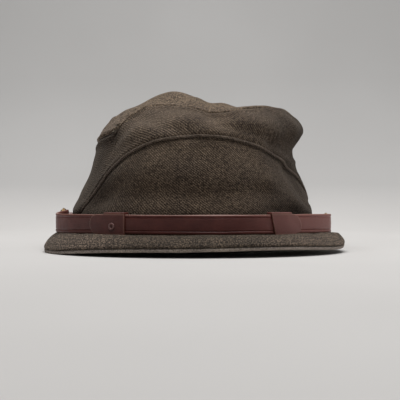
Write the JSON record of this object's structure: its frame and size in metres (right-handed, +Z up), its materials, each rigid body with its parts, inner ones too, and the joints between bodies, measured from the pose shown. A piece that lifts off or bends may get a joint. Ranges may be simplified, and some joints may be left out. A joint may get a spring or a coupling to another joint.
{
  "type": "peaked cap",
  "caption": "Soft wool peaked service cap with a curved front panel, slack crown, row-stitched peak, side buttons and a two-part leather chinstrap that lifts off the peak.",
  "frame": {"origin": "centre of the head opening, on the level surface that the cap stands on", "axes": "-Y forwards over the peak, +X to the right as seen from the front, +Z up"},
  "size_m": [0.2166, 0.2483, 0.122],
  "materials": {
    "cap_cloth": "napped wool twill",
    "peak_cloth": "napped wool, row stitched",
    "welt": "folded wool edge",
    "thread": "matt thread",
    "canvas": "stiff canvas",
    "lining": "cotton drill",
    "label": "plain woven tape",
    "sweatband": "smooth",
    "board": "pressed board",
    "strap_leather": "waxed, tooled edge lines",
    "keeper_leather": "waxed",
    "stud": "painted brown",
    "button": "dull, tarnished",
    "steel": "plain wire"
  },
  "bodies": {
    "cap": {"front_panel": "cap_cloth", "back_band": "cap_cloth", "crown_top": "cap_cloth", "crown_front": "cap_cloth", "crown_back_left": "cap_cloth", "crown_back_right": "cap_cloth", "front_seam_welt": "welt", "top_seam_welt": "welt", "front_canvas": "canvas", "lining_sides": "lining", "lining_top": "lining", "size_label": "label", "sweatband": "sweatband", "rim_tape": "lining", "peak_board": "board", "peak_top_cloth": "peak_cloth", "peak_under_cloth": "peak_cloth", "peak_edge_binding": "peak_cloth", "peak_stitch_rows": "thread", "side_eyelets": "button", "side_washers": "keeper_leather"},
    "chinstrap": {"chinstrap_outer_half": "strap_leather", "chinstrap_inner_half": "strap_leather", "left_keeper": "keeper_leather", "keeper_stud": "stud"},
    "sliding_keeper": {"right_keeper": "keeper_leather"},
    "left_button": {"left_button_face": "button", "left_button_shank": "button", "left_split_ring": "steel"},
    "right_button": {"right_button_face": "button", "right_button_shank": "button", "right_split_ring": "steel"}
  },
  "joints": [
    {"name": "chinstrap_swing", "type": "hinge", "parent": "cap", "child": "chinstrap", "pos_m": [0, -0.017, 0.0211], "axis": [-0.9998, 0, 0.0189], "range_deg": [0, 16]},
    {"name": "keeper_slide", "type": "hinge", "parent": "chinstrap", "child": "sliding_keeper", "pos_m": [-0.001, 0.01234, 0.02015], "axis": [0, 0, 1], "range_deg": [-38, 0]},
    {"name": "left_button_spin", "type": "hinge", "parent": "cap", "child": "left_button", "pos_m": [-0.1, -0.017, 0.023], "axis": [-1, 0, 0], "continuous": true},
    {"name": "right_button_spin", "type": "hinge", "parent": "cap", "child": "right_button", "pos_m": [0.1, -0.017, 0.0192], "axis": [1, 0, 0], "continuous": true}
  ]
}
